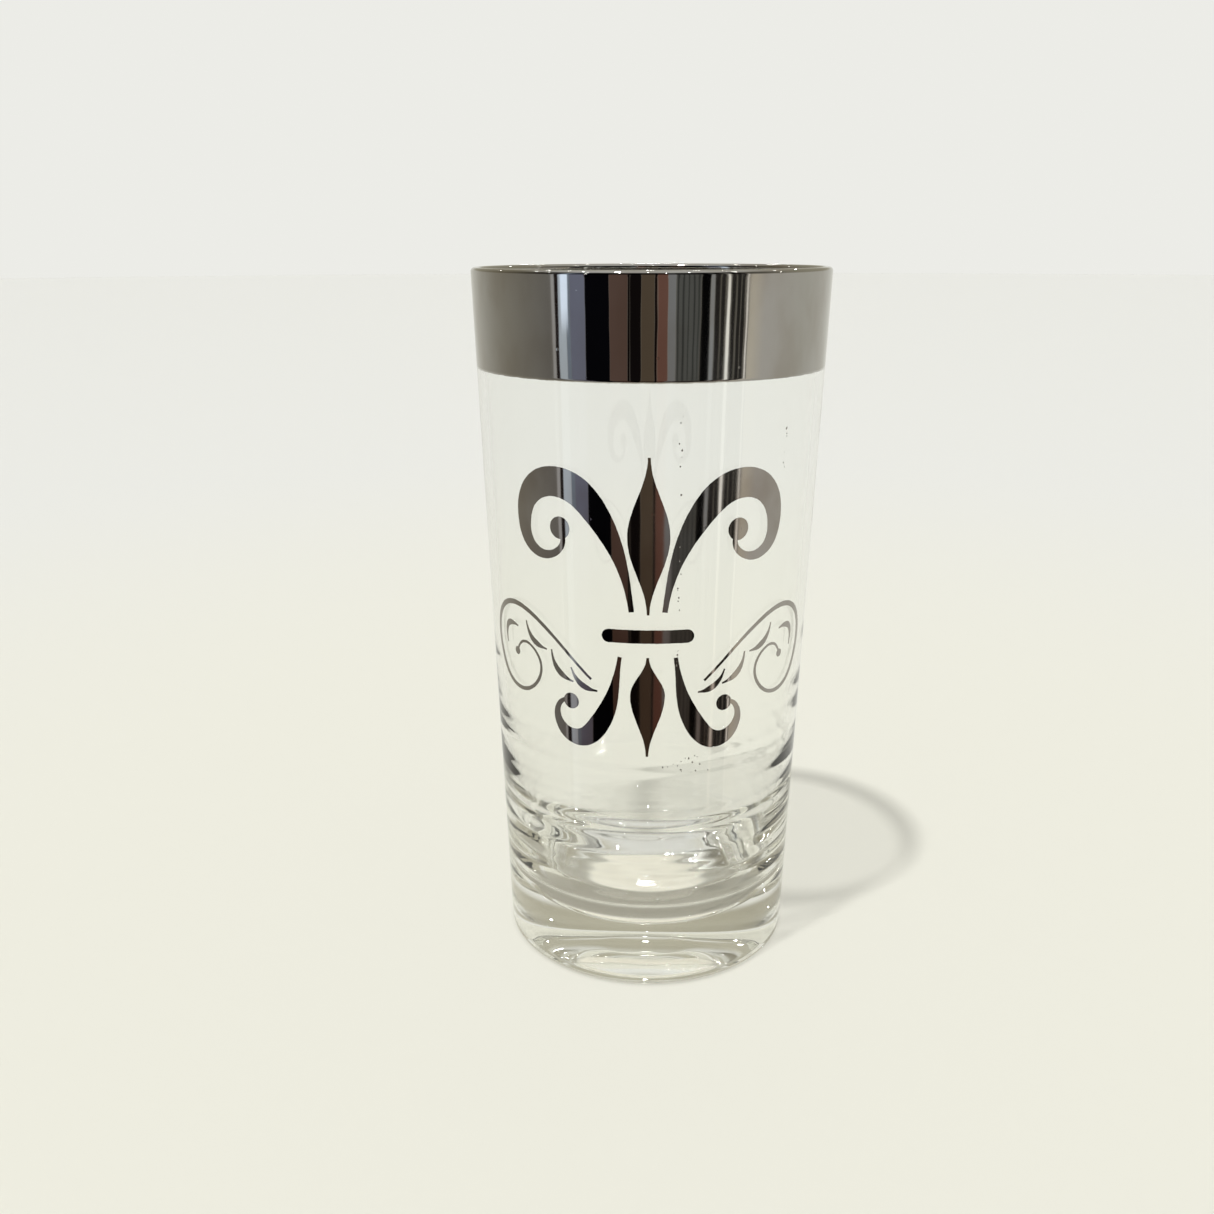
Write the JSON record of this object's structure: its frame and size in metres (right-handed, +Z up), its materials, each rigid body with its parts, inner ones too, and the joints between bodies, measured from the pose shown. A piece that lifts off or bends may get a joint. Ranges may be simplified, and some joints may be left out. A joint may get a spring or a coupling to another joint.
{
  "type": "highball tumbler",
  "caption": "Tall straight-sided clear-glass tumbler with a thick base, a wide mirror-silver rim band and a silver scroll ornament on the front.",
  "frame": {"origin": "centre of the foot ring, on the plane the glass stands on", "axes": "+Z up along the glass's axis; the front ornament faces -Y and +X is to its right as a viewer sees it"},
  "size_m": [0.0692, 0.0692, 0.1401],
  "materials": {
    "clear_glass": "clear, fire-polished soda-lime glass with faint moulding waves",
    "silver_lustre_band": "fired platinum-silver lustre, mirror bright, a little dark",
    "silver_lustre_ornament": "fired silver lustre in broad strokes, mirror bright",
    "silver_lustre_scrollwork": "fired silver lustre in fine printed lines"
  },
  "bodies": {
    "root": {"glass_body": "clear_glass", "rim_band": "silver_lustre_band", "ornament_spindle": "silver_lustre_ornament", "ornament_pendant": "silver_lustre_ornament", "ornament_collar": "silver_lustre_ornament", "left_volute": "silver_lustre_ornament", "right_volute": "silver_lustre_ornament", "left_hook": "silver_lustre_ornament", "right_hook": "silver_lustre_ornament", "left_scroll_arch": "silver_lustre_scrollwork", "right_scroll_arch": "silver_lustre_scrollwork", "left_scroll_leaf_1": "silver_lustre_scrollwork", "left_scroll_leaf_2": "silver_lustre_scrollwork", "left_scroll_leaf_3": "silver_lustre_scrollwork", "left_scroll_leaf_4": "silver_lustre_scrollwork", "right_scroll_leaf_1": "silver_lustre_scrollwork", "right_scroll_leaf_2": "silver_lustre_scrollwork", "right_scroll_leaf_3": "silver_lustre_scrollwork", "right_scroll_leaf_4": "silver_lustre_scrollwork"}
  },
  "joints": []
}
